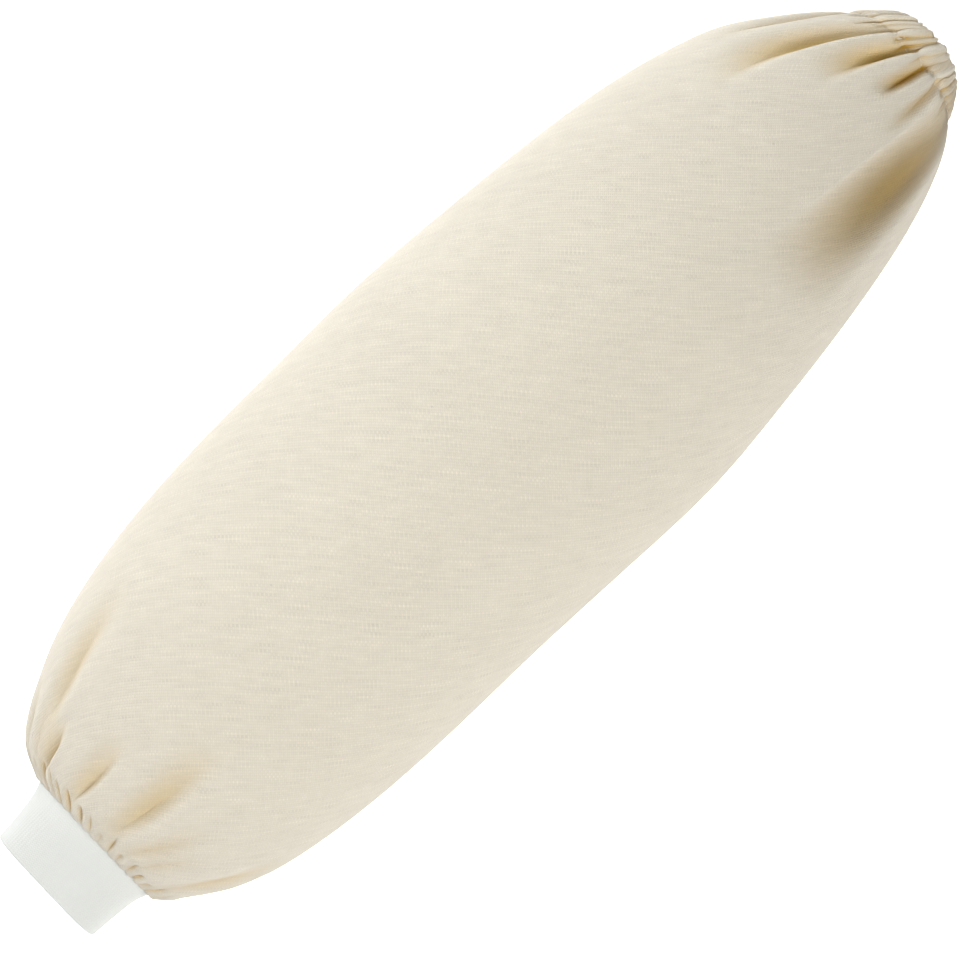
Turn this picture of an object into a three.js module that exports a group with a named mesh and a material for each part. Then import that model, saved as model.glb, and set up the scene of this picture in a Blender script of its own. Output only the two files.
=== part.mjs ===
import * as THREE from 'three';
import { LoftGeometry } from 'three/addons/geometries/LoftGeometry.js';

// A canvas work sleeve, puffed out and lying on a flat surface. A canvas tube is gathered into a
// knit wrist cuff at one end and into a casing over an elastic at the other, where the arm goes in.
// Millimetres. X runs from the cuff to the elastic end, Y is across, Z is up and the surface is Z = 0.

// Driving dimensions
const CANVAS_WALL = 1.2;
const CASING_WALL = 1.0;
const CUFF_WALL = 2.6;
const ELASTIC_THICKNESS = 0.8;
const ELASTIC_WIDTH = 5.4;
const GAP = 0.3;
const CASING_PLAY = 0.5;
const CUFF_EDGE_X = -225.9;
const SEAM_X = -200.5;
const CUFF_TUCK = 5;
const RIM_X = 217.7;
const CASING_RUN = 9;
const CANVAS_TUCK = 1.8;
const ELASTIC_END_X = RIM_X - CASING_WALL - GAP;
const ELASTIC_START_X = ELASTIC_END_X - ELASTIC_WIDTH;

// Facets round the sleeve and sections along it
const ROUND_STEPS = 72;
const CANVAS_STEPS = 24;
const CUFF_STEPS = 4;

// How much of the spacing of the canvas sections is even; the rest crowds them towards the ends
const EVEN_SPACING = 0.2;

// The step, in millimetres and in degrees, that the way a surface faces is read over
const SLOPE_STEP = 0.05;

// Angles are in degrees round the sleeve: 0 at the +Y edge, 90 on top, 180 at the -Y edge, 270 below.

// Sections of the knit cuff's outer face: middle height z, middle across y, half width and half
// height, and lean, by which the top of a section tips towards +X.
const CUFF_SECTIONS = table(
  ['x', 'y', 'z', 'halfWidth', 'halfHeight', 'lean'],
  [
    [CUFF_EDGE_X, -10.7, 25.5, 24.4, 12.6, -11],
    [-214.5, -10.1, 27.4, 25.8, 13.9, -10],
    [-206.5, -9.7, 29.2, 27.3, 15.3, -9],
    [SEAM_X, -9.5, 30.8, 29.6, 16.8, -8],
    [SEAM_X + CUFF_TUCK, -9.4, 31.6, 30.2, 17.2, -7],
  ],
);

// Sections of the canvas: the left and right edges seen from above, the top, the lowest point before
// the surface presses it flat, and the lean.
const CUFF_CLEARANCE = GAP + CANVAS_WALL / 2;
const SEAM_ROW = CUFF_SECTIONS.find((row) => row.x === SEAM_X);
const CANVAS_SECTIONS = table(
  ['x', 'left', 'right', 'top', 'bottom', 'lean'],
  [
    [
      SEAM_X,
      SEAM_ROW.y + SEAM_ROW.halfWidth + CUFF_CLEARANCE,
      SEAM_ROW.y - SEAM_ROW.halfWidth - CUFF_CLEARANCE,
      SEAM_ROW.z + SEAM_ROW.halfHeight + CUFF_CLEARANCE,
      SEAM_ROW.z - SEAM_ROW.halfHeight - CUFF_CLEARANCE,
      SEAM_ROW.lean,
    ],
    [-197, 30.3, -44.8, 55, 8, -6],
    [-192.5, 36.2, -48.2, 60.5, 4.5, -4],
    [-185.5, 41.8, -53.2, 66.5, 1.5, -2],
    [-175.5, 47.6, -58.9, 72.5, -1, 0],
    [-161.5, 54.2, -63.5, 78.5, -2.5, 0],
    [-142.5, 60.2, -67.2, 83.5, -3.5, 0],
    [-113.5, 65.7, -70.2, 87.5, -4, 0],
    [-76.5, 68.7, -71.7, 90, -4, 0],
    [-31.5, 70.3, -71.6, 91.5, -4, 0],
    [12.5, 71.8, -71.4, 92, -4, 0],
    [56.5, 69.8, -70.9, 91, -4, 0],
    [93.5, 67, -67.2, 88.5, -3.5, 0],
    [127.5, 62.6, -62.6, 84, -2.5, 0],
    [153.5, 56.6, -57.6, 78.5, -1, 2],
    [173.5, 49.6, -52.4, 72, 2.5, 6],
    [190.5, 38.6, -46.2, 65.5, 8, 14],
    [201.5, 29.6, -40.4, 60.5, 12, 21],
    [RIM_X - CASING_RUN, 22, -34.2, 57.2, 14.7, 27],
    [RIM_X, 11.6, -26.6, 54.8, 17.4, 30],
  ],
);

// Folds run from an end of the canvas along the sleeve. edge and far are the angles where a fold
// leaves the end and where it dies out, reach its length, peak the share of its length where it is
// deepest, depth its depth there, mouth its depth at the end, and low and high the angles it spreads
// over on the side of the smaller and of the larger angle.
const FOLD_COLUMNS = ['edge', 'far', 'reach', 'peak', 'depth', 'mouth', 'low', 'high'];
const ELASTIC_FOLDS = table(FOLD_COLUMNS, [
  [8, 27, 54, 0.45, 3.0, 1.0, 9, 9],
  [32, 34, 34, 0.4, 2.0, 1.0, 10, 9],
  [73, 50, 72, 0.42, 8.5, 1.2, 24, 9],
  [95, 72, 50, 0.42, 6.5, 1.6, 17, 9],
  [113, 97, 40, 0.42, 5.0, 1.0, 13, 10],
  [131, 114, 34, 0.4, 2.4, 1.0, 9, 8],
  [151, 131, 88, 0.55, 12.5, 1.0, 15, 26],
  [166, 156, 26, 0.4, 2.0, 1.0, 8, 9],
  [184, 187, 44, 0.4, 3.0, 1.0, 12, 12],
  [204, 209, 62, 0.42, 5.5, 1.1, 13, 14],
  [226, 228, 40, 0.4, 3.4, 1.0, 12, 11],
  [247, 246, 54, 0.45, 4.6, 1.1, 12, 13],
  [269, 272, 34, 0.4, 2.6, 1.0, 11, 12],
  [290, 295, 58, 0.42, 4.8, 1.1, 13, 12],
  [312, 315, 42, 0.4, 3.4, 1.0, 12, 12],
  [334, 341, 66, 0.45, 5.5, 1.1, 14, 12],
  [352, 356, 32, 0.4, 2.2, 1.0, 10, 10],
]);
const CUFF_FOLDS = table(FOLD_COLUMNS, [
  [14, 17, 30, 0.4, 1.8, 0, 9, 9],
  [33, 31, 24, 0.4, 1.4, 0, 8, 8],
  [54, 37, 74, 0.3, 4.2, 0, 13, 8],
  [73, 83, 36, 0.35, 3.0, 0, 8, 10],
  [95, 101, 64, 0.3, 3.8, 0, 9, 10],
  [110, 123, 32, 0.35, 2.2, 0, 7, 9],
  [122, 134, 28, 0.4, 1.8, 0, 7, 8],
  [150, 147, 36, 0.4, 2.4, 0, 9, 9],
  [176, 178, 40, 0.4, 2.6, 0, 9, 9],
  [201, 206, 52, 0.35, 3.2, 0, 10, 9],
  [226, 224, 32, 0.4, 2.2, 0, 9, 9],
  [250, 254, 44, 0.35, 2.8, 0, 9, 10],
  [275, 273, 30, 0.4, 2.0, 0, 9, 9],
  [298, 303, 48, 0.35, 3.0, 0, 10, 9],
  [322, 320, 34, 0.4, 2.2, 0, 9, 9],
  [346, 349, 46, 0.35, 2.8, 0, 9, 9],
]);

// Rows of numbers become objects with named columns.
function table(columns, rows) {
  return rows.map((row) => Object.fromEntries(columns.map((name, i) => [name, row[i]])));
}

// A smooth curve through every column of a table of sections, as a function of x.
function smoothSections(sections) {
  const names = Object.keys(sections[0]);
  const stations = sections.map((row) => row.x);
  const values = sections.flatMap((row) => names.map((name) => row[name]));
  const curve = new THREE.CubicInterpolant(stations, values, names.length);
  return (x) => {
    const sample = curve.evaluate(x);
    return Object.fromEntries(names.map((name, i) => [name, name === 'x' ? x : sample[i]]));
  };
}

const canvasSection = smoothSections(CANVAS_SECTIONS);
const cuffSection = smoothSections(CUFF_SECTIONS);

// A point of an oval ring that leans: across and up are measured in the ring's own plane.
function ringPoint(x, z, lean, across, up) {
  const tip = THREE.MathUtils.degToRad(lean);
  return new THREE.Vector3(x + up * Math.sin(tip), across, z + up * Math.cos(tip));
}

// The depth of one fold at a distance from the end it starts at and an angle round the sleeve.
function foldDepth(fold, distance, angle) {
  const along = Math.max(distance, 0) / fold.reach;
  if (along >= 1) {
    return 0;
  }
  const middle = THREE.MathUtils.lerp(fold.edge, fold.far, along);
  const aside = THREE.MathUtils.euclideanModulo(angle - middle + 180, 360) - 180;
  const spread = Math.abs(aside) / (aside < 0 ? fold.low : fold.high);
  if (spread >= 1) {
    return 0;
  }
  const rise = THREE.MathUtils.smoothstep(along, 0, fold.peak);
  const fade = 1 - THREE.MathUtils.smoothstep(along, fold.peak, 1);
  const deepest = along < fold.peak ? THREE.MathUtils.lerp(fold.mouth, fold.depth, rise) : fold.depth * fade;
  return deepest * (1 - THREE.MathUtils.smoothstep(spread, 0, 1));
}

// The middle of the canvas wall, folds included. The surface presses it flat from below.
function canvasMiddle(x, angle) {
  const { left, right, top, bottom, lean } = canvasSection(x);
  const halfWidth = (left - right) / 2;
  const halfHeight = (top - bottom) / 2 / Math.cos(THREE.MathUtils.degToRad(lean));
  const turn = THREE.MathUtils.degToRad(angle);
  const outward = new THREE.Vector2(Math.cos(turn) / halfWidth, Math.sin(turn) / halfHeight).normalize();
  const fromRim = ELASTIC_FOLDS.reduce((sum, fold) => sum + foldDepth(fold, RIM_X - x, angle), 0);
  const fromSeam = CUFF_FOLDS.reduce((sum, fold) => sum + foldDepth(fold, x - SEAM_X, angle), 0);
  const inset = fromRim + fromSeam;
  const across = (left + right) / 2 + halfWidth * Math.cos(turn) - inset * outward.x;
  const up = halfHeight * Math.sin(turn) - inset * outward.y;
  const point = ringPoint(x, (top + bottom) / 2, lean, across, up);
  point.z = Math.max(point.z, CANVAS_WALL / 2);
  return point;
}

// The outer face of the knit cuff.
function cuffOuter(x, angle) {
  const { y, z, halfWidth, halfHeight, lean } = cuffSection(x);
  const turn = THREE.MathUtils.degToRad(angle);
  return ringPoint(x, z, lean, y + halfWidth * Math.cos(turn), halfHeight * Math.sin(turn));
}

// A point lifted off a surface, along the way the surface faces.
function lifted(surface, x, angle, height) {
  const round = surface(x, angle + SLOPE_STEP).sub(surface(x, angle - SLOPE_STEP));
  const along = surface(x + SLOPE_STEP, angle).sub(surface(x - SLOPE_STEP, angle));
  const facing = round.cross(along).normalize();
  return surface(x, angle).addScaledVector(facing, height);
}

// A closed wall swept round the sleeve. Its profile lists places along x and heights off the surface,
// first towards +X on the outside and then back on the inside.
function sweptWall(surface, profile) {
  const rings = profile.map(([x, height]) => Array.from({ length: ROUND_STEPS }, (_, i) => (
    lifted(surface, x, i * 360 / ROUND_STEPS, height)
  )));
  return new LoftGeometry([...rings, rings[0]]);
}

function sleevePiece(name, geometry, color, roughness) {
  const piece = new THREE.Mesh(geometry, new THREE.MeshStandardMaterial({ color, roughness, metalness: 0 }));
  piece.name = name;
  return piece;
}

// The canvas tube, from the cuff seam to just inside the casing
function canvasBody() {
  const mouth = RIM_X - CASING_RUN;
  const stations = Array.from({ length: CANVAS_STEPS + 1 }, (_, i) => {
    const share = i / CANVAS_STEPS;
    const crowded = (1 - Math.cos(share * Math.PI)) / 2;
    return THREE.MathUtils.lerp(SEAM_X, mouth, THREE.MathUtils.lerp(crowded, share, EVEN_SPACING));
  });
  stations.push(mouth + CANVAS_TUCK);
  const outside = stations.map((x) => [x, CANVAS_WALL / 2]);
  const inside = stations.map((x) => [x, -CANVAS_WALL / 2]).reverse();
  return sweptWall(canvasMiddle, [...outside, ...inside]);
}

// The casing at the elastic end: canvas turned over the elastic, with its mouth over the canvas edge
function elasticCasing() {
  const mouth = RIM_X - CASING_RUN;
  const hollow = CANVAS_WALL / 2 + CASING_PLAY;
  const face = hollow + CASING_WALL;
  const bend = RIM_X - face;
  const innerBend = RIM_X - CASING_WALL;
  const halfway = face * Math.SQRT1_2;
  const halfwayX = bend + halfway;
  return sweptWall(canvasMiddle, [
    [mouth, face],
    [bend, face],
    [halfwayX, halfway],
    [RIM_X, 0],
    [halfwayX, -halfway],
    [bend, -face],
    [mouth, -face],
    [mouth, -hollow],
    [ELASTIC_START_X, -hollow],
    [innerBend, -hollow],
    [innerBend, hollow],
    [ELASTIC_START_X, hollow],
    [mouth, hollow],
  ]);
}

// The elastic, hidden inside the casing
function elasticBand() {
  const half = ELASTIC_THICKNESS / 2;
  return sweptWall(canvasMiddle, [
    [ELASTIC_START_X, half],
    [ELASTIC_END_X, half],
    [ELASTIC_END_X, -half],
    [ELASTIC_START_X, -half],
  ]);
}

// The knit cuff, with a rounded free edge and its other edge tucked into the canvas
function knitCuff() {
  const end = SEAM_X + CUFF_TUCK;
  const round = CUFF_WALL / 2;
  const stations = Array.from({ length: CUFF_STEPS + 1 }, (_, i) => (
    THREE.MathUtils.lerp(CUFF_EDGE_X + round, end, i / CUFF_STEPS)
  ));
  const outside = stations.map((x) => [x, 0]);
  const inside = stations.map((x) => [x, -CUFF_WALL]).reverse();
  const edge = [[CUFF_EDGE_X, -round * 3 / 2], [CUFF_EDGE_X, -round / 2]];
  return sweptWall(cuffOuter, [...outside, ...inside, ...edge]);
}

const sleeve = new THREE.Group();
sleeve.add(
  sleevePiece('canvas_body', canvasBody(), 0xe6deca, 0.95),
  sleevePiece('elastic_casing', elasticCasing(), 0xe2d9c3, 0.95),
  sleevePiece('elastic_band', elasticBand(), 0xeeece6, 0.8),
  sleevePiece('knit_cuff', knitCuff(), 0xeef0ec, 0.9),
);

export default sleeve;
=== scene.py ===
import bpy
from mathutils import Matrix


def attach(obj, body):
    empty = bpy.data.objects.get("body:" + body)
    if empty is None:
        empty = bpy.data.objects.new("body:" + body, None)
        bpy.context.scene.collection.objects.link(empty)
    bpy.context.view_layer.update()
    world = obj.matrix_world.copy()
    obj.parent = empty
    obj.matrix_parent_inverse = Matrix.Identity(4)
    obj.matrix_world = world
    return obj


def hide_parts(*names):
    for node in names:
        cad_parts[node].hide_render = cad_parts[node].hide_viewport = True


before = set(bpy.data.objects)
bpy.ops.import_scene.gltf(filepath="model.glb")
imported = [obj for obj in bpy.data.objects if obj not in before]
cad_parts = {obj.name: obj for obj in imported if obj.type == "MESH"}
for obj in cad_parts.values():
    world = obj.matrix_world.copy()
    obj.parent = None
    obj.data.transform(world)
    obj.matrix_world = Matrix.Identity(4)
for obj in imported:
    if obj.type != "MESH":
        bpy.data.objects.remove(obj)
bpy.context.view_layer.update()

import math

import bpy
import numpy as np
from mathutils import Vector

# A canvas work sleeve lying puffed out on a white table. Sizes are in millimetres, as in the tables
# below; MM turns them into Blender's metres. X runs from the knit cuff to the elastic end, Y across.
MM = 0.001

# Cloth
CANVAS_WALL = 1.2
CUFF_WALL = 2.6
FLAT_GIRTH = 376.0
CUFF_GIRTH = 140.0
ELASTIC_WIDTH = 5.4
ELASTIC_THICKNESS = 0.8

# Yarns: the canvas is cut on the bias, so its threads run slantwise round the sleeve
WARP_PITCH = 0.74
WEFT_PITCH = 0.99
WEAVE_BIAS = -43.0
ELASTIC_PITCH = 0.5

# Woven threads: how full their round is, how high they lie where they go under, the warp's share of the
# weft's unevenness, how far apart neighbouring threads are in the noise that makes it, how much lighter
# a thread is painted on its crown, as painted shade where it dips under, and the tone that counts as the
# middle
THREAD_ROUND = 0.6
THREAD_DIP = 0.5
WARP_SLUB = 0.3
THREAD_STEP = 3.71
CROWN_PAINTED_LIGHT = 0.5
MIDDLE_TONE = 0.3

# The cuff's knit: the length of a row of loops, how far a loop's leg slants, the ribs and their height
KNIT_COURSE = 0.85
LOOP_SLANT = 1.1
CUFF_RIBS = 120
RIB_RELIEF = 0.035

# Uneven cotton: how often the thickness of a thread, the fuzz and the tone change, and how often there
# is room for a fleck of husk, all per metre; the fuzz's share of the tone; the share of the room for
# flecks that is taken, and a fleck's size as a share of its room
SLUB_RATE = 85.0
FUZZ_RATE = 1400.0
DRIFT_RATE = 22.0
FLECK_RATE = 70.0
FUZZ_TONE = 0.4
FLECK_SHARE = 0.2
FLECK_SIZE = 0.028

# Places along the sleeve, the cuff's tuck into the canvas, and the lip of the canvas at that seam
CUFF_EDGE_X = -227.6
SEAM_X = -200.5
CUFF_TUCK = 5.0
SEAM_LIP = 0.35
RIM_X = 217.7

# The casing: its run, how far the hem goes on past the stitches, how far either layer stands from the
# middle between them, and the room left beside the elastic
CASING_RUN = 9.0
STITCH_X = RIM_X - CASING_RUN
HEM_ALLOWANCE = 2.4
LAYER_LIFT = 1.35
ELASTIC_ROOM = 0.2

# The casing's stitches: how far they lie beside their groove, how far apart they start, the gap between
# them, and their thread's radius; in radii, how high a stitch arches and how deep its ends sink
STITCH_ASIDE = 0.5
STITCH_PITCH = 2.4
STITCH_GAP = 0.5
THREAD_RADIUS = 0.16
THREAD_ARCH = 1.6
THREAD_SINK = 0.9

# The lengthwise seam, on the side away from the light
SEAM_ANGLE = 207.0

# The pleats of the casing swing round by this angle over this distance, and its rim waves along the
# sleeve by this share of their depth
PLEAT_SWING = 26.0
PLEAT_SWING_RUN = 12.0
RIM_WAVE = 0.6

# The pleats are deeper by this share over this run at the stitches, and have this share at the cuff seam
STITCH_PIT = 0.6
STITCH_PIT_RUN = 2.0
SEWN_SHARE = 0.35

# Painted shade of the canvas deep in a fold, warm like light that has bounced from canvas to canvas,
# and darker painted shade in the dent: colours that multiply the canvas colour
PAINTED_FOLD_SHADE = (0.84, 0.58, 0.09)
PAINTED_DENT_SHADE = (0.62, 0.48, 0.24)

# Depths at which a fold and a pleat have the full painted shade, and how it grows up to there: late in a
# pleat, early in the dent
FULL_SHADE_ELASTIC_FOLD = 7.0
FULL_SHADE_CUFF_FOLD = 11.0
FULL_SHADE_PLEAT = 2.6
PLEAT_SHADE_POWER = 1.5
DENT_SHADE_POWER = 0.7

# The crimps where the canvas is sewn to the cuff: their length, how far their ridges stand up there, and
# the run over which that fades
CRIMP_RUN = 2.0
SEAM_RISE = 1.2
SEAM_RISE_RUN = 6.0

# Grooves along the lengthwise seam and the casing's stitches: depth and width
SEAM_GROOVE = 0.7
STITCH_GROOVE = 0.5
GROOVE_WIDTH = 1.1

# The slow unevenness of the canvas: the seed of its draws, how many waves add up, their height, their
# fastest change along the sleeve in radians per millimetre, the most of them round it, and the run over
# which they fade out near its ends
SWELL_SEED = 5
SWELL_COUNT = 9
SWELL_HEIGHT = 0.16
SWELL_RATE = 0.045
SWELLS_ROUND = 5
SWELL_FADE = 25.0

# Points round a section
CANVAS_ROUND = 560
CUFF_ROUND = 960

# The photograph's frame: the way that its right edge points, the point of the table plane under its
# middle and the width that it takes in at the height of the sleeve's sides
VIEW_TURN = -43.35
VIEW_MIDDLE = (-6.0, -11.3)
VIEW_WIDTH = 355.4
VIEW_PLANE = 45.0
CAMERA_HEIGHT = 2500.0
SENSOR = 36.0

# The table: half its width in metres, how far its top lies below the sleeve, and how much it glows
TABLE_REACH = 3.0
TABLE_DROP = 0.4
TABLE_GLOW = 0.8

# Soft boxes round the sleeve, in metres and watts: the angle round it, the angle up, power and colour
LIGHT_DISTANCE = 1.3
LIGHT_SIZE = (0.9, 0.5)
LIGHTS = [
    ("left light", 90, 8, 5.3, (0.95, 0.98, 1.0)),
    ("left light at the elastic end", 45, 8, 4.9, (0.95, 0.98, 1.0)),
    ("left light at the cuff end", 135, 8, 3.1, (0.95, 0.98, 1.0)),
    ("upper left light", 90, 35, 2.2, (1.0, 1.0, 1.0)),
    ("upper right light", 270, 62, 6.4, (1.0, 1.0, 0.97)),
    ("upper cuff light", 225, 62, 6.6, (1.0, 1.0, 0.99)),
    ("top light", 90, 89, 3.25, (1.0, 1.0, 0.96)),
]


def table(columns, rows):
    """Rows of numbers as named columns."""
    return dict(zip(columns, np.array(rows, float).T))


# Angles are in degrees round the sleeve: 0 at the +Y edge, 90 on top, 180 at the -Y edge, 270 below.
# A section of the cuff is an oval where square is 2; above that its corners fill out.
CUFF_SECTIONS = table(
    ("x", "y", "z", "half_width", "half_height", "lean", "square"),
    [
        (CUFF_EDGE_X, -10.2, 25.5, 25.4, 12.4, -4, 3.2),
        (-214.5, -9.9, 27.4, 26.4, 13.8, -3, 2.8),
        (-206.5, -9.6, 29.2, 27.6, 15.3, -1, 2.3),
        (SEAM_X, -9.5, 30.8, 29.6, 16.8, 3, 2),
        (SEAM_X + CUFF_TUCK, -9.4, 31.6, 30.2, 17.2, 3, 2),
    ],
)

# Left and right edges from above, top, lowest point before the table presses it flat, and lean
CANVAS_SECTIONS = table(
    ("x", "left", "right", "top", "bottom", "lean"),
    [
        (SEAM_X, 21.0, -40.0, 48.5, 13.1, 3),
        (-197, 30.3, -44.8, 55, 8, 2),
        (-192.5, 36.2, -48.2, 60.5, 4.5, 0),
        (-185.5, 41.8, -53.2, 66.5, 1.5, 0),
        (-175.5, 47.6, -58.9, 72.5, -1, 0),
        (-161.5, 54.2, -63.5, 78.5, -2.5, 0),
        (-142.5, 60.2, -67.2, 83.5, -3.5, 0),
        (-113.5, 65.7, -70.2, 87.5, -4, 0),
        (-76.5, 68.7, -71.7, 90, -4, 0),
        (-31.5, 70.3, -71.6, 91.5, -4, 0),
        (12.5, 71.8, -71.4, 92, -4, 0),
        (56.5, 69.8, -70.9, 91, -4, 0),
        (93.5, 67, -67.2, 88.5, -3.5, 0),
        (127.5, 62.6, -62.6, 84, -2.5, 0),
        (153.5, 56.6, -57.6, 78.5, -1, 2),
        (173.5, 49.6, -52.4, 72, 2.5, 6),
        (190.5, 38.6, -46.2, 65.5, 8, 14),
        (201.5, 29.6, -40.4, 60.5, 12, 21),
        (STITCH_X, 22, -34.2, 57.2, 14.7, 27),
        (RIM_X, 11.6, -26.6, 54.8, 17.4, 30),
    ],
)

# Folds from an end of the canvas: the angles where a fold leaves the end and which it then turns to,
# the distance over which it turns, its length, the share of it where it is deepest, its depth there and
# at the end, the angles it spreads over on either side, and how sharply its floor is creased, 0 to 1
FOLD_COLUMNS = ("edge", "far", "swing", "reach", "peak", "depth", "mouth", "low", "high", "crease")
CREASE_POWER = 1.7


def fold_row(*values):
    return dict(zip(FOLD_COLUMNS, values))


ELASTIC_FOLDS = [
    fold_row(30, 26, 12, 54, 0.45, 2.6, 1.0, 9, 9, 0.7),
    fold_row(84, 51, 12, 66, 0.45, 5.2, 1.2, 18, 6, 0),
    fold_row(103, 74, 12, 40, 0.42, 6.2, 1.6, 18, 5, 0.1),
    fold_row(123, 94, 12, 30, 0.5, 7.5, 1.6, 11, 5, 0.2),
    fold_row(137, 112, 12, 36, 0.45, 3.8, 1.0, 8, 6, 0.4),
    fold_row(200, 187, 12, 44, 0.4, 3.0, 1.0, 12, 12, 0.6),
    fold_row(222, 209, 12, 62, 0.42, 5.5, 1.1, 13, 14, 0.5),
    fold_row(244, 228, 12, 40, 0.4, 3.4, 1.0, 12, 11, 0.6),
    fold_row(263, 246, 12, 54, 0.45, 4.6, 1.1, 12, 13, 0.5),
    fold_row(288, 272, 12, 34, 0.4, 2.6, 1.0, 11, 12, 0.6),
    fold_row(310, 295, 12, 58, 0.42, 4.8, 1.1, 13, 12, 0.5),
    fold_row(331, 315, 12, 42, 0.4, 3.4, 1.0, 12, 12, 0.6),
    fold_row(355, 339, 12, 66, 0.45, 5.5, 1.1, 14, 12, 0.5),
    fold_row(375, 359, 12, 32, 0.4, 2.2, 1.0, 10, 10, 0.6),
]
CUFF_FOLDS = [
    fold_row(14, 17, 12, 30, 0.4, 1.8, 0, 9, 9, 0.6),
    fold_row(33, 31, 12, 24, 0.4, 1.4, 0, 8, 8, 0.6),
    fold_row(36, 49, 6, 26, 0.4, 5.5, 0.5, 13, 5, 0.4),
    fold_row(33, 38.5, 20, 78, 0.5, 3.6, 0, 12, 9, 0.1),
    fold_row(65, 77, 6, 38, 0.35, 4.8, 0.5, 13, 4, 0.4),
    fold_row(98, 103, 12, 64, 0.35, 5.0, 0.5, 14, 7, 0.1),
    fold_row(108, 123, 12, 38, 0.35, 2.8, 0, 10, 8, 0.3),
    fold_row(120, 134, 12, 28, 0.4, 2.2, 0, 8, 8, 0.4),
    fold_row(146, 172, 25, 52, 0.4, 3.2, 0.5, 14, 10, 0),
    fold_row(176, 178, 12, 40, 0.4, 2.6, 0, 9, 9, 0.5),
    fold_row(201, 206, 12, 52, 0.35, 3.2, 0, 10, 9, 0.5),
    fold_row(226, 224, 12, 32, 0.4, 2.2, 0, 9, 9, 0.5),
    fold_row(250, 254, 12, 44, 0.35, 2.8, 0, 9, 10, 0.5),
    fold_row(275, 273, 12, 30, 0.4, 2.0, 0, 9, 9, 0.5),
    fold_row(298, 303, 12, 48, 0.35, 3.0, 0, 10, 9, 0.5),
    fold_row(322, 320, 12, 34, 0.4, 2.2, 0, 9, 9, 0.5),
    fold_row(346, 349, 12, 46, 0.35, 2.8, 0, 9, 9, 0.5),
]

# The broad dent beside the elastic end is pressed straight down. The side of it that lies at lower
# angles has a sharp brink.
DENT = fold_row(150, 121, 50, 98, 0.42, 13, 2.5, 18, 22, 0)
BRINK = 0.75


def smoothstep(value, low=0.0, high=1.0):
    share = np.clip((value - low) / (high - low), 0, 1)
    return share * share * (3 - 2 * share)


def smooth_columns(sections, x):
    """Every column of a table of sections at places x, on a smooth curve through its rows."""
    at = sections["x"]
    i = np.clip(np.searchsorted(at, x, "right") - 1, 0, len(at) - 2)
    run = at[i + 1] - at[i]
    share = (x - at[i]) / run
    out = {}
    for name, value in sections.items():
        step = np.diff(value) / np.diff(at)
        slope = np.concatenate([step[:1], (step[1:] + step[:-1]) / 2, step[-1:]])
        start = share * (1 - share) ** 2 * run * slope[i]
        end = share ** 2 * (share - 1) * run * slope[i + 1]
        out[name] = value[i] + (value[i + 1] - value[i]) * smoothstep(share) + start + end
    return out


def turned(angle, middle):
    """How far an angle lies past another, from -180 to 180."""
    return (angle - middle + 180) % 360 - 180


def fold_depth(fold, distance, angle, brink=0.0):
    """How far one fold sinks at a distance from the end it starts at and an angle round the sleeve."""
    distance = np.maximum(distance, 0)
    along = distance / fold["reach"]
    middle = fold["far"] + (fold["edge"] - fold["far"]) * np.exp(-distance / fold["swing"])
    aside = turned(angle, middle)
    spread = np.minimum(np.abs(aside) / np.where(aside < 0, fold["low"], fold["high"]), 1)
    rise = fold["mouth"] + (fold["depth"] - fold["mouth"]) * smoothstep(along, 0, fold["peak"])
    fade = fold["depth"] * (1 - smoothstep(along, fold["peak"], 1))
    deepest = np.where(along < fold["peak"], rise, fade)
    soft = 1 - smoothstep(spread)
    creased = (1 - spread) ** CREASE_POWER
    edged = np.where(aside < 0, 1 - spread ** 2, soft)
    return deepest * (soft + (creased - soft) * fold["crease"] + (edged - soft) * brink)


def elastic_folds(x, angle):
    return sum(fold_depth(fold, RIM_X - x, angle) for fold in ELASTIC_FOLDS)


def cuff_folds(x, angle):
    return sum(fold_depth(fold, x - SEAM_X, angle) for fold in CUFF_FOLDS)


def dent(x, angle):
    return fold_depth(DENT, RIM_X - x, angle, BRINK)


def ring_points(x, z, lean, across, up):
    """Points of rings that lean: across and up are measured in a ring's own plane."""
    tip = np.radians(lean)
    return np.stack(np.broadcast_arrays(x + up * np.sin(tip), across, z + up * np.cos(tip)), -1)


def canvas_middle(x, angle):
    """The middle of the canvas wall at places x and angles round the sleeve, with its folds and dent."""
    section = smooth_columns(CANVAS_SECTIONS, x)
    half_width = (section["left"] - section["right"]) / 2
    half_height = (section["top"] - section["bottom"]) / 2 / np.cos(np.radians(section["lean"]))
    turn = np.radians(angle)
    facing = np.stack(np.broadcast_arrays(np.cos(turn) / half_width, np.sin(turn) / half_height), -1)
    facing /= np.linalg.norm(facing, axis=-1, keepdims=True)
    inset = elastic_folds(x, angle) + cuff_folds(x, angle)
    across = (section["left"] + section["right"]) / 2 + half_width * np.cos(turn) - inset * facing[..., 0]
    up = half_height * np.sin(turn) - inset * facing[..., 1]
    points = ring_points(x, (section["top"] + section["bottom"]) / 2, section["lean"], across, up)
    points[..., 2] = np.maximum(points[..., 2] - dent(x, angle), CANVAS_WALL / 2)
    return points


def cuff_outer(x, angle):
    """The outer face of the knit cuff, before its ribs."""
    section = smooth_columns(CUFF_SECTIONS, x)
    turn = np.radians(angle)
    power = section["square"]
    fill = (np.abs(np.cos(turn)) ** power + np.abs(np.sin(turn)) ** power) ** (-1 / power)
    across = section["y"] + section["half_width"] * np.cos(turn) * fill
    up = section["half_height"] * np.sin(turn) * fill
    return ring_points(x, section["z"], section["lean"], across, up)


def lifted(surface, x, angle, height):
    """Points lifted off a surface along the way it faces."""
    step = 0.05
    round_way = surface(x, angle + step) - surface(x, angle - step)
    along_way = surface(x + step, angle) - surface(x - step, angle)
    facing = np.cross(round_way, along_way)
    facing /= np.linalg.norm(facing, axis=-1, keepdims=True)
    return surface(x, angle) + facing * height[..., None]


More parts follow.
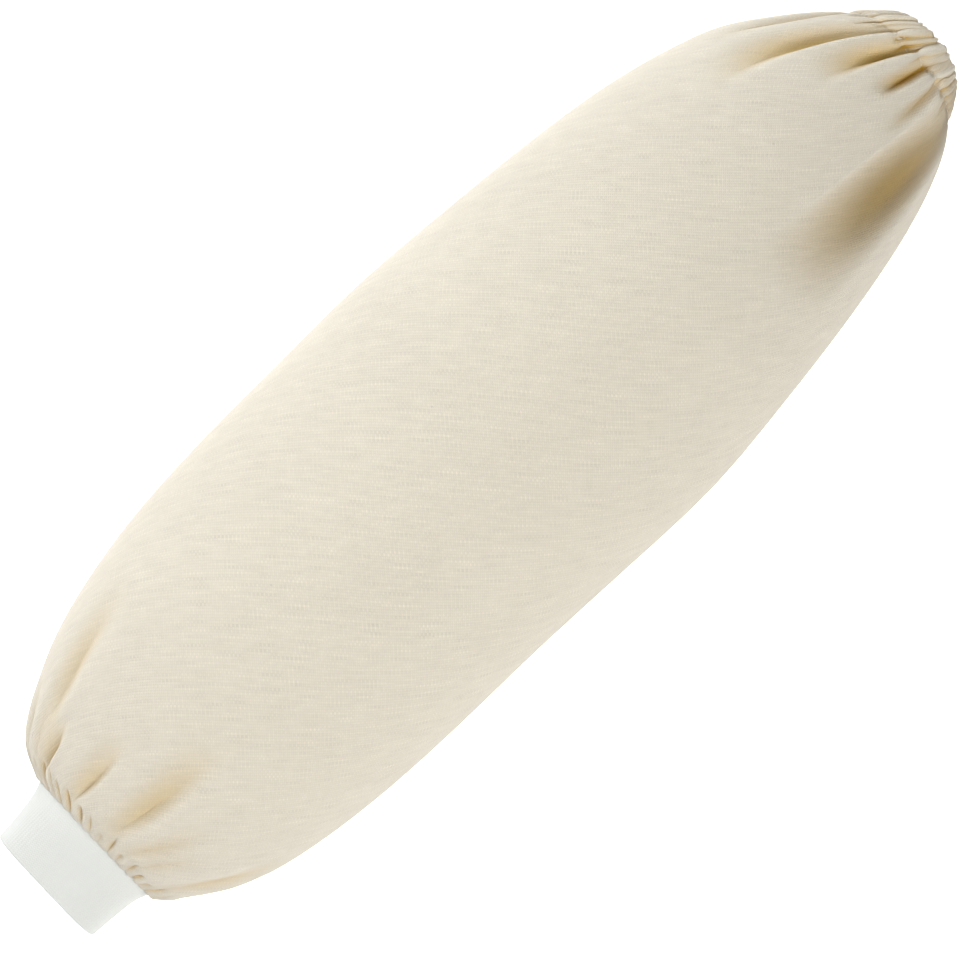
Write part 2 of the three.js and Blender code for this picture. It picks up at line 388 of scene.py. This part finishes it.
class Pleats:
    """Small pleats side by side round an end: rounded ridges between sharp valleys, none quite alike."""

    # How far a pleat strays from its even place, as a share of the distance between two
    STRAY = 0.26

    def __init__(self, count, depth, least, run, fade, flat, seed):
        draw = np.random.default_rng(seed)
        place = (np.arange(count) + draw.uniform(-self.STRAY, self.STRAY, count)) * 360 / count
        deep = depth * draw.uniform(least, 1.0, count)
        end = run + draw.uniform(*fade, count)
        self.run = run
        self.flat = flat
        self.at = np.append(place, place[0] + 360)
        self.deep = np.append(deep, deep[0])
        self.end = np.append(end, end[0])

    def sink(self, distance, angle):
        """Depth below the ridges at a distance from the end: full along the run, then fading out."""
        place = (angle - self.at[0]) % 360 + self.at[0]
        i = np.clip(np.searchsorted(self.at, place, "right") - 1, 0, len(self.at) - 2)
        share = (place - self.at[i]) / (self.at[i + 1] - self.at[i])
        deep = self.deep[i] + (self.deep[i + 1] - self.deep[i]) * share
        end = self.end[i] + (self.end[i + 1] - self.end[i]) * share
        ridge = np.sin(math.pi * share) ** self.flat
        return deep * (1 - ridge) * (1 - smoothstep(distance, self.run, end))


RIM_PLEATS = Pleats(count=46, depth=2.3, least=0.35, run=CASING_RUN, fade=(2, 10), flat=0.8, seed=11)
SEAM_PLEATS = Pleats(count=38, depth=4.0, least=0.2, run=CRIMP_RUN, fade=(1.5, 7), flat=0.6, seed=23)


def soft_swells(x, angle):
    """Slow, shallow unevenness of cloth that is puffed out by hand."""
    draw = np.random.default_rng(SWELL_SEED)
    height = 0
    for _ in range(SWELL_COUNT):
        along = draw.uniform(-SWELL_RATE, SWELL_RATE)
        around = draw.integers(1, SWELLS_ROUND + 1)
        phase = draw.uniform(0, 2 * math.pi)
        height = height + SWELL_HEIGHT * np.sin(x * along + np.radians(angle) * around + phase)
    return height


def fine_pleats(x, angle):
    """How far the pleats of the casing and the crimps at the cuff sink the canvas."""
    from_rim = RIM_X - x
    from_seam = x - SEAM_X
    pit = 1 + STITCH_PIT * np.exp(-((x - STITCH_X) / STITCH_PIT_RUN) ** 2)
    sewn = SEWN_SHARE + (1 - SEWN_SHARE) * smoothstep(from_seam, 0, CRIMP_RUN)
    swing = PLEAT_SWING * np.exp(-from_rim / PLEAT_SWING_RUN)
    return RIM_PLEATS.sink(from_rim, angle - swing) * pit + SEAM_PLEATS.sink(from_seam, angle) * sewn


def canvas_relief(x, angle):
    """What the finer gathers, the seam and the swells add to the canvas, outwards."""
    rise = SEAM_RISE * np.exp(-np.maximum(x - SEAM_X, 0) / SEAM_RISE_RUN)
    across_seam = np.radians(turned(angle, SEAM_ANGLE)) * FLAT_GIRTH / (2 * math.pi)
    lengthwise = -SEAM_GROOVE * np.exp(-(across_seam / GROOVE_WIDTH) ** 2)
    pinch = -STITCH_GROOVE * np.exp(-((x - STITCH_X) / GROOVE_WIDTH) ** 2)
    from_ends = np.minimum(x - SEAM_X, STITCH_X - x)
    swells = soft_swells(x, angle) * smoothstep(from_ends, 0, SWELL_FADE)
    return rise - fine_pleats(x, angle) + lengthwise + pinch + swells


def new_piece(name, points, faces):
    mesh = bpy.data.meshes.new(name)
    mesh.from_pydata(points.reshape(-1, 3).tolist(), [], faces)
    mesh.shade_smooth()
    piece = bpy.data.objects.new(name, mesh)
    bpy.context.scene.collection.objects.link(piece)
    return piece


def ring_piece(name, rings, girth):
    """A piece of rings, each joined to the next and the last to the first, with a map of the flat cloth."""
    count, around = rings.shape[:2]
    index = np.arange(count * around).reshape(count, around)
    ahead = np.roll(index, -1, 0)
    quads = np.stack([index, np.roll(index, -1, 1), np.roll(ahead, -1, 1), ahead], -1).reshape(-1, 4)
    piece = new_piece(name, rings, quads.tolist())
    steps = np.linalg.norm(np.roll(rings, -1, 0) - rings, axis=-1).mean(1)
    u = np.concatenate([[0], np.cumsum(steps)])
    v = np.arange(around + 1) / around * girth * MM
    i, j = np.divmod(np.arange(count * around), around)
    cloth = np.stack([np.stack([u[i + a], v[j + b]], -1) for a, b in ((0, 0), (0, 1), (1, 1), (1, 0))], 1)
    piece.data.uv_layers.new(name="cloth").uv.foreach_set("vector", cloth.astype(np.float32).ravel())
    return piece


def half_turn(short, count):
    """Angles of a half turn, short of both its ends, which the rings beside it take up."""
    return np.linspace(short, math.pi - short, count)


def angles_round(count):
    """Angles of the points of a ring, from the lengthwise seam on."""
    return SEAM_ANGLE + np.arange(count)[None, :] * 360 / count


def canvas_rings(profile, around):
    """Rings of canvas for a profile of places along x, heights off the wall's middle and rim shares."""
    x, height, rim = np.array(profile, float).T[:, :, None]
    angle = angles_round(around)
    relief = canvas_relief(np.minimum(x, RIM_X), angle)
    points = lifted(canvas_middle, x + RIM_WAVE * rim * relief, angle, height + relief)
    half = CANVAS_WALL / 2
    points[..., 2] = np.maximum(points[..., 2], half - np.clip(height, -half, half))
    return points * MM


def painted_fold_shade(profile, around):
    """The painted shade of each point of those rings: warm in the folds and pleats, darker in the dent."""
    x = np.minimum(np.array(profile, float)[:, :1], RIM_X)
    angle = angles_round(around)
    painted_shade_in_folds = elastic_folds(x, angle) / FULL_SHADE_ELASTIC_FOLD + cuff_folds(x, angle) / FULL_SHADE_CUFF_FOLD
    painted_shade_in_folds = painted_shade_in_folds + (fine_pleats(x, angle) / FULL_SHADE_PLEAT) ** PLEAT_SHADE_POWER
    painted_shade_in_dent = (dent(x, angle) / DENT["depth"]) ** DENT_SHADE_POWER
    # Painted shade: darker and warmer where the folds, pleats and dent sink the canvas
    painted_shade = 1.0
    for share, full in ((painted_shade_in_folds, PAINTED_FOLD_SHADE), (painted_shade_in_dent, PAINTED_DENT_SHADE)):
        painted_shade = painted_shade * (1 - np.clip(share, 0, 1)[..., None] * (1 - np.array(full)))
    return painted_shade


def canvas_stations():
    """Places along the canvas, close together where it is gathered: from, to and how many."""
    stretches = (
        (SEAM_X, SEAM_X + 10, 12),
        (SEAM_X + 10, -150, 18),
        (-150, -90, 9),
        (-90, 100, 13),
        (100, 145, 9),
        (145, 190, 20),
        (190, STITCH_X, 20),
    )
    return np.concatenate([np.linspace(a, b, n, endpoint=False) for a, b, n in stretches])


def canvas_sleeve():
    """One sheet of canvas, from the cuff seam to the casing that is turned in over the elastic."""
    half = CANVAS_WALL / 2
    body = canvas_stations()
    turn_x = RIM_X - LAYER_LIFT
    hem_edge = STITCH_X - HEM_ALLOWANCE

    def puffed(shares, side):
        lift = LAYER_LIFT * np.sin(math.pi / 2 * shares) ** 0.5
        return [(x, side + up, 0) for x, up in zip(STITCH_X + shares * (turn_x - STITCH_X), lift)]

    def bend(radius, turns):
        return [(turn_x + radius * math.sin(a), radius * math.cos(a), math.sin(a)) for a in turns]

    profile = [(SEAM_X - SEAM_LIP, 0, 0)]
    profile += [(x, half, 0) for x in body]
    profile += puffed(np.linspace(0, 1, 11), half)
    profile += bend(LAYER_LIFT + half, half_turn(0.3, 7))
    profile += [(x, -LAYER_LIFT - half, 0) for x in np.linspace(turn_x, hem_edge, 6)]
    profile += [(x, -LAYER_LIFT + half, 0) for x in np.linspace(hem_edge, turn_x, 6)]
    profile += bend(LAYER_LIFT - half, half_turn(0.4, 4)[::-1])
    profile += puffed(np.linspace(1, 0, 8), -half)
    profile += [(x, -half, 0) for x in body[::-3]]
    sleeve = ring_piece("canvas_sleeve", canvas_rings(profile, CANVAS_ROUND), FLAT_GIRTH)
    # Each point carries its painted shade from the folds and the dent, for the canvas material
    painted_shade = sleeve.data.attributes.new("painted fold shade", "FLOAT_VECTOR", "POINT")
    painted_shade.data.foreach_set("vector", painted_fold_shade(profile, CANVAS_ROUND).astype(np.float32).ravel())
    return sleeve


def elastic_band():
    """A plain band that lies between the casing's layers and takes on its pleats."""
    half = ELASTIC_THICKNESS / 2
    end = RIM_X - LAYER_LIFT - ELASTIC_ROOM
    stations = np.linspace(end - ELASTIC_WIDTH, end, 5)
    profile = [(x, half, 0) for x in stations] + [(x, -half, 0) for x in stations[::-1]]
    return ring_piece("elastic", canvas_rings(profile, CANVAS_ROUND), FLAT_GIRTH)


def knit_cuff():
    """A doubled tube of rib knit, folded at its free edge."""
    round_edge = CUFF_WALL / 2
    stations = np.linspace(CUFF_EDGE_X + round_edge, SEAM_X + CUFF_TUCK, 24)
    outside = [(x, 0, 1) for x in stations]
    inside = [(x, -CUFF_WALL, -1) for x in stations[::-2]]
    edge = [
        (CUFF_EDGE_X + round_edge * (1 - math.sin(a)), -round_edge * (1 + math.cos(a)), -math.cos(a))
        for a in half_turn(0.25, 7)
    ]
    x, height, face = np.array(outside + inside + edge).T[:, :, None]
    angle = angles_round(CUFF_ROUND)
    ribs = np.cos(np.radians(angle - SEAM_ANGLE) * CUFF_RIBS) * RIB_RELIEF
    points = lifted(cuff_outer, x, angle, height + ribs * face) * MM
    return ring_piece("knit_cuff_ribbed", points, CUFF_GIRTH)


def casing_stitches():
    """The row of stitches that closes the casing: short bent threads whose ends sink into the canvas."""
    sides, steps = 6, 6
    fine = 4000
    row = STITCH_X - STITCH_ASIDE
    inner, outer = canvas_rings([(row, 0, 0), (row, CANVAS_WALL / 2, 0)], fine)
    run = np.concatenate([[0], np.cumsum(np.linalg.norm(np.roll(outer, -1, 0) - outer, axis=-1))]) / MM
    count = int(run[-1] / STITCH_PITCH)
    start = np.arange(count)[:, None] * run[-1] / count
    share = np.linspace(0, 1, steps)
    at = np.searchsorted(run, start + share * (STITCH_PITCH - STITCH_GAP)) % fine
    out = outer - inner
    out /= np.linalg.norm(out, axis=-1, keepdims=True)
    way = np.roll(outer, -2, 0) - np.roll(outer, 2, 0)
    way /= np.linalg.norm(way, axis=-1, keepdims=True)
    side = np.cross(way, out)
    rise = (np.sin(share * math.pi) * THREAD_ARCH - THREAD_SINK) * THREAD_RADIUS * MM
    middle = outer[at] + out[at] * rise[None, :, None]
    turn = np.arange(sides) * 2 * math.pi / sides
    ring = np.cos(turn)[:, None] * out[at][:, :, None, :] + np.sin(turn)[:, None] * side[at][:, :, None, :]
    points = middle[:, :, None, :] + ring * THREAD_RADIUS * MM
    index = np.arange(count * steps * sides).reshape(count, steps, sides)
    near, far = index[:, :-1], index[:, 1:]
    quads = np.stack([near, far, np.roll(far, -1, 2), np.roll(near, -1, 2)], -1).reshape(-1, 4)
    caps = index[:, 0].tolist() + index[:, -1, ::-1].tolist()
    return new_piece("casing_stitches", points, quads.tolist() + caps)


def feed(tree, socket, value):
    """Sets a socket, or joins it to another node's."""
    if isinstance(value, bpy.types.NodeSocket):
        tree.links.new(value, socket)
    else:
        socket.default_value = value


def node(tree, kind, inputs, **settings):
    made = tree.nodes.new(kind)
    for name, value in settings.items():
        setattr(made, name, value)
    for name, value in inputs.items():
        feed(tree, made.inputs[name], value)
    return made.outputs


def calc(tree, operation, *values):
    made = tree.nodes.new("ShaderNodeMath")
    made.operation = operation
    for socket, value in zip(made.inputs, values):
        feed(tree, socket, value)
    return made.outputs[0]


def either(tree, chosen, no, yes):
    """One of two values, or a mix of them."""
    return calc(tree, "MULTIPLY_ADD", calc(tree, "SUBTRACT", yes, no), chosen, no)


def shader_group(name, inputs, outputs):
    """An empty node group, with its inputs and the socket that each output is fed through."""
    tree = bpy.data.node_groups.new(name, "ShaderNodeTree")
    for title, value in inputs.items():
        kind = "NodeSocketVector" if title == "Cloth" else "NodeSocketFloat"
        socket = tree.interface.new_socket(title, in_out="INPUT", socket_type=kind)
        if value is not None:
            socket.default_value = value
    for title in outputs:
        tree.interface.new_socket(title, in_out="OUTPUT", socket_type="NodeSocketFloat")
    return tree, tree.nodes.new("NodeGroupInput").outputs, tree.nodes.new("NodeGroupOutput").inputs


def plain_weave():
    """Over-and-under threads of uneven yarn: the height of the cloth, and how light each thread is, with
    painted shade where it dips under.
    """
    inputs = {"Cloth": None, "Warp Pitch": 0.001, "Weft Pitch": 0.001, "Bias": 0.0, "Slub": 1.0}
    tree, given, result = shader_group("plain weave", inputs, ("Height", "Tone"))
    turn = {"Vector": given["Cloth"], "Angle": given["Bias"]}
    place = node(tree, "ShaderNodeVectorRotate", turn, rotation_type="Z_AXIS")[0]
    along, across, _ = node(tree, "ShaderNodeSeparateXYZ", {"Vector": place})

    def threads(way, pitch):
        count = calc(tree, "DIVIDE", way, pitch)
        wave = calc(tree, "SINE", calc(tree, "MULTIPLY", count, math.pi))
        return count, wave, calc(tree, "ABSOLUTE", wave)

    def yarn(count, way):
        """How thick a thread is, changing slowly along it and from one thread to the next."""
        row = calc(tree, "MULTIPLY", calc(tree, "FLOOR", count), THREAD_STEP)
        run = calc(tree, "MULTIPLY", way, SLUB_RATE)
        spot = node(tree, "ShaderNodeCombineXYZ", {"X": run, "Y": row})[0]
        grain = {"Vector": spot, "Scale": 1.0, "Detail": 2.0}
        noise = node(tree, "ShaderNodeTexNoise", grain, noise_dimensions="2D")
        return calc(tree, "MULTIPLY", calc(tree, "SUBTRACT", noise[0], 0.5), given["Slub"])

    def crown(across_it, along_it):
        rounded = calc(tree, "POWER", across_it, THREAD_ROUND)
        return calc(tree, "MULTIPLY", rounded, either(tree, along_it, THREAD_DIP, 1.0))

    warp, warp_wave, warp_round = threads(along, given["Warp Pitch"])
    weft, weft_wave, weft_round = threads(across, given["Weft Pitch"])
    weft_over = calc(tree, "GREATER_THAN", calc(tree, "MULTIPLY", warp_wave, weft_wave), 0.0)
    thread = either(tree, weft_over, crown(warp_round, weft_round), crown(weft_round, warp_round))
    even_warp = calc(tree, "MULTIPLY", yarn(warp, across), WARP_SLUB)
    thickness = either(tree, weft_over, even_warp, yarn(weft, along))
    feed(tree, result["Height"], calc(tree, "ADD", thread, thickness))
    lightness = calc(tree, "SUBTRACT", thickness, MIDDLE_TONE)
    # A thread is painted lighter on its crown and darker where it dips under: painted shade
    feed(tree, result["Tone"], calc(tree, "MULTIPLY_ADD", thread, CROWN_PAINTED_LIGHT, lightness))
    return tree


def cotton_tone():
    """Uneven cotton: a slow drift of tone, fine fuzz, and the odd dark fleck of husk."""
    inputs = {"Drift": 1.0, "Fuzz": 1.0}
    tree, given, result = shader_group("cotton tone", inputs, ("Tone", "Fuzz", "Fleck"))
    place = tree.nodes.new("ShaderNodeTexCoord").outputs["Object"]

    def noise(rate, detail):
        made = node(tree, "ShaderNodeTexNoise", {"Vector": place, "Scale": rate, "Detail": detail})
        return calc(tree, "SUBTRACT", made[0], 0.5)

    fuzz = calc(tree, "MULTIPLY", noise(FUZZ_RATE, 2.0), given["Fuzz"])
    drift = calc(tree, "MULTIPLY", noise(DRIFT_RATE, 3.0), given["Drift"])
    cells = node(tree, "ShaderNodeTexVoronoi", {"Vector": place, "Scale": FLECK_RATE})
    chance = node(tree, "ShaderNodeSeparateXYZ", {"Vector": cells["Color"]})[0]
    kept = calc(tree, "GREATER_THAN", chance, 1 - FLECK_SHARE)
    speck = calc(tree, "LESS_THAN", cells["Distance"], FLECK_SIZE)
    feed(tree, result["Tone"], calc(tree, "MULTIPLY_ADD", fuzz, FUZZ_TONE, drift))
    feed(tree, result["Fuzz"], fuzz)
    feed(tree, result["Fleck"], calc(tree, "MULTIPLY", kept, speck))
    return tree


def use(tree, group, **values):
    """Places a group in a material; a value's name is its socket's, with _ for a space."""
    made = tree.nodes.new("ShaderNodeGroup")
    made.node_tree = group
    for name, value in values.items():
        feed(tree, made.inputs[name.replace("_", " ")], value)
    return made.outputs


def cloth_place(tree):
    return node(tree, "ShaderNodeUVMap", {}, uv_map="cloth")[0]


def cloth_material(name, color, roughness, sheen):
    """A matt cloth with nothing joined yet: its tree and its shader's sockets."""
    material = bpy.data.materials.new(name)
    material.use_nodes = True
    tree = material.node_tree
    shader = tree.nodes["Principled BSDF"].inputs
    shader["Base Color"].default_value = (*color, 1)
    shader["Roughness"].default_value = roughness
    shader["Specular IOR Level"].default_value = 0.25
    shader["Sheen Weight"].default_value = sheen
    shader["Sheen Roughness"].default_value = 0.5
    return material, tree, shader


def shade(tree, shader, color, *tones):
    """A colour made lighter or darker over the surface, by tones that each have their own share."""
    light = 1.0
    for tone, share in tones:
        light = calc(tree, "MULTIPLY_ADD", tone, share, light)
    shaded = node(tree, "ShaderNodeVectorMath", {"Vector": color, "Scale": light}, operation="SCALE")
    feed(tree, shader["Base Color"], shaded[0])


def bump(tree, shader, height, depth, strength):
    made = node(tree, "ShaderNodeBump", {"Height": height, "Distance": depth * MM, "Strength": strength})
    feed(tree, shader["Normal"], made[0])


def natural_canvas(weave, cotton):
    color = (0.825, 0.76, 0.65)
    rough = 0.9
    material, tree, shader = cloth_material("natural canvas", color, rough, sheen=0.12)
    threads = use(
        tree, weave, Cloth=cloth_place(tree), Warp_Pitch=WARP_PITCH * MM, Weft_Pitch=WEFT_PITCH * MM,
        Bias=math.radians(WEAVE_BIAS), Slub=1.5,
    )
    mottle = use(tree, cotton, Drift=1.0, Fuzz=1.0)
    # Painted shade of the folds and the dent multiplies the canvas colour; the threads' tone holds painted
    # shade where they dip under
    painted_shade_in_folds = node(tree, "ShaderNodeAttribute", {}, attribute_name="painted fold shade")["Vector"]
    color_with_painted_shade = node(tree, "ShaderNodeVectorMath", {0: painted_shade_in_folds, 1: color}, operation="MULTIPLY")[0]
    shade(tree, shader, color_with_painted_shade, (threads["Tone"], 0.21), (mottle["Tone"], 0.07), (mottle["Fleck"], -0.12))
    feed(tree, shader["Roughness"], calc(tree, "MULTIPLY_ADD", mottle["Fuzz"], 0.1, rough))
    bump(tree, shader, threads["Height"], depth=0.22, strength=0.85)
    return material


def white_elastic(weave, cotton):
    color = (0.84, 0.83, 0.80)
    material, tree, shader = cloth_material("white elastic", color, roughness=0.8, sheen=0.05)
    pitch = ELASTIC_PITCH * MM
    cloth = cloth_place(tree)
    threads = use(tree, weave, Cloth=cloth, Warp_Pitch=pitch, Weft_Pitch=pitch, Bias=0.0, Slub=0.2)
    mottle = use(tree, cotton, Drift=0.3, Fuzz=0.5)
    # The threads' tone holds painted shade where they dip under
    shade(tree, shader, color, (threads["Tone"], 0.1), (mottle["Tone"], 0.05))
    bump(tree, shader, threads["Height"], depth=0.15, strength=0.6)
    return material


def white_rib_knit(cotton):
    """Rows of knit loops, two legs to a rib, on the ribs that the mesh has."""
    color = (0.81, 0.82, 0.795)
    material, tree, shader = cloth_material("white rib knit", color, roughness=0.9, sheen=0.2)
    along, around, _ = node(tree, "ShaderNodeSeparateXYZ", {"Vector": cloth_place(tree)})
    leg = calc(tree, "PINGPONG", calc(tree, "DIVIDE", around, CUFF_GIRTH / CUFF_RIBS * MM), 0.5)
    course = calc(tree, "DIVIDE", along, KNIT_COURSE * MM)
    slant = calc(tree, "MULTIPLY_ADD", leg, LOOP_SLANT, course)
    loop = calc(tree, "SINE", calc(tree, "MULTIPLY", slant, 2 * math.pi))
    mottle = use(tree, cotton, Drift=0.4, Fuzz=1.0)
    # The loops are painted a touch lighter where they stand highest and darker between them: painted shade
    shade(tree, shader, color, (loop, 0.015), (mottle["Tone"], 0.05))
    bump(tree, shader, calc(tree, "ADD", loop, mottle["Fuzz"]), depth=0.06, strength=0.4)
    return material


def cotton_thread(cotton):
    color = (0.83, 0.78, 0.67)
    material, tree, shader = cloth_material("cotton thread", color, roughness=0.85, sheen=0.1)
    mottle = use(tree, cotton, Drift=0.5, Fuzz=1.0)
    shade(tree, shader, color, (mottle["Tone"], 0.2))
    bump(tree, shader, mottle["Fuzz"], depth=0.05, strength=0.5)
    return material


def soft_light(name, azimuth, elevation, power, color):
    """A soft box that faces the middle of the sleeve, from an angle round it and one above the table."""
    data = bpy.data.lights.new(name, "AREA")
    data.shape = "RECTANGLE"
    data.size, data.size_y = LIGHT_SIZE
    data.energy = power
    data.color = color
    around, up = math.radians(azimuth), math.radians(elevation)
    way = Vector((math.cos(up) * math.cos(around), math.cos(up) * math.sin(around), math.sin(up)))
    light = bpy.data.objects.new(name, data)
    light.location = Vector((0, 0, VIEW_PLANE * MM)) + way * LIGHT_DISTANCE
    light.rotation_euler = way.to_track_quat("Z", "Y").to_euler()
    bpy.context.scene.collection.objects.link(light)


def white_table():
    sides = np.array([(-1, -1, 0), (1, -1, 0), (1, 1, 0), (-1, 1, 0)])
    floor = new_piece("table_top", sides * TABLE_REACH - (0, 0, TABLE_DROP * MM), [[0, 1, 2, 3]])
    material = bpy.data.materials.new("white table")
    material.use_nodes = True
    shader = material.node_tree.nodes["Principled BSDF"].inputs
    shader["Base Color"].default_value = (0.9, 0.9, 0.9, 1)
    shader["Roughness"].default_value = 0.9
    shader["Emission Color"].default_value = (1, 1, 1, 1)
    shader["Emission Strength"].default_value = TABLE_GLOW
    floor.data.materials.append(material)


def studio():
    scene = bpy.context.scene
    scene.view_settings.view_transform = "Standard"
    scene.world = bpy.data.worlds.new("dark room")
    scene.world.use_nodes = True
    scene.world.node_tree.nodes["Background"].inputs["Strength"].default_value = 0.0
    for light in LIGHTS:
        soft_light(*light)
    white_table()


def photo_camera():
    data = bpy.data.cameras.new("camera")
    data.sensor_width = SENSOR
    data.lens = SENSOR * (CAMERA_HEIGHT - VIEW_PLANE) / VIEW_WIDTH
    camera = bpy.data.objects.new("camera", data)
    camera.location = (VIEW_MIDDLE[0] * MM, VIEW_MIDDLE[1] * MM, CAMERA_HEIGHT * MM)
    camera.rotation_euler = (0, 0, math.radians(VIEW_TURN))
    bpy.context.scene.collection.objects.link(camera)
    bpy.context.scene.camera = camera


photo_camera()
studio()
weave = plain_weave()
cotton = cotton_tone()
canvas = canvas_sleeve()
cuff = knit_cuff()
elastic = elastic_band()
stitches = casing_stitches()
canvas.data.materials.append(natural_canvas(weave, cotton))
cuff.data.materials.append(white_rib_knit(cotton))
elastic.data.materials.append(white_elastic(weave, cotton))
stitches.data.materials.append(cotton_thread(cotton))
for piece, slot in ((canvas, "canvas"), (cuff, "knit"), (elastic, "elastic"), (stitches, "canvas")):
    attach(piece, "root")
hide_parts("canvas_body", "elastic_casing")
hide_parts("knit_cuff")
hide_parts("elastic_band")
